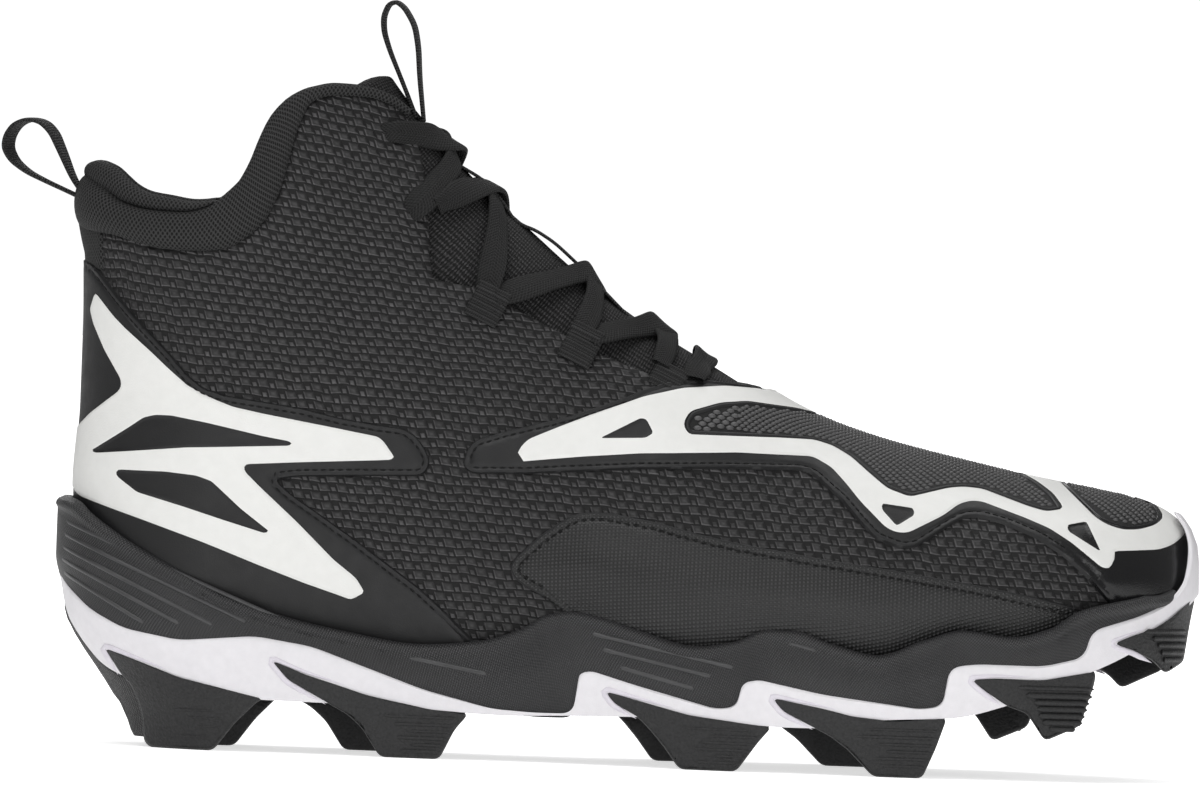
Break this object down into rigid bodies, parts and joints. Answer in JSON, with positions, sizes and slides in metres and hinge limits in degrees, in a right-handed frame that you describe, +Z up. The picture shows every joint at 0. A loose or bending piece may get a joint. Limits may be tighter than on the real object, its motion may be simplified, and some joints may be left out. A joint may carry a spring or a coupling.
{
  "type": "baseball cleat",
  "caption": "Right-foot mid-cut baseball cleat with a woven upper, film overlays, laces, pull loops and a stepped two-layer sole with moulded rubber studs.",
  "frame": {"origin": "on the floor under the middle of the shoe's overall box, pull loops included", "axes": "+X from heel to toe, +Y to the inner (medial) side, +Z up from the floor"},
  "size_m": [0.3206, 0.1028, 0.1996],
  "materials": {
    "black_rubber": "matte moulded",
    "white_sole": "satin",
    "black_midsole": "matte moulded",
    "woven_cloth": "coarse basket weave",
    "insole_cloth": "matte",
    "knit": "matte knit",
    "collar_mesh": "air mesh",
    "printed_film": "satin film, black with white print",
    "fine_mesh": "fine mesh",
    "webbing": "woven",
    "lace": "flat woven"
  },
  "bodies": {
    "root": {"outsole": "black_rubber", "sole_plate": "white_sole", "midsole": "black_midsole", "upper": "woven_cloth", "insole": "insole_cloth", "tongue": "knit", "collar": "collar_mesh", "heel_counter": "printed_film", "vamp_overlay": "printed_film", "side_panel_lateral": "fine_mesh", "side_panel_medial": "fine_mesh", "heel_pull_loop": "webbing", "tongue_pull_loop": "webbing", "lace_keeper": "webbing", "lace_bar": "lace", "lace_cross_1": "lace", "lace_cross_2": "lace", "lace_cross_3": "lace", "lace_cross_4": "lace", "lace_loop_1_lateral": "webbing", "lace_loop_1_medial": "webbing", "lace_loop_2_lateral": "webbing", "lace_loop_2_medial": "webbing", "lace_loop_3_lateral": "webbing", "lace_loop_3_medial": "webbing"}
  },
  "joints": []
}
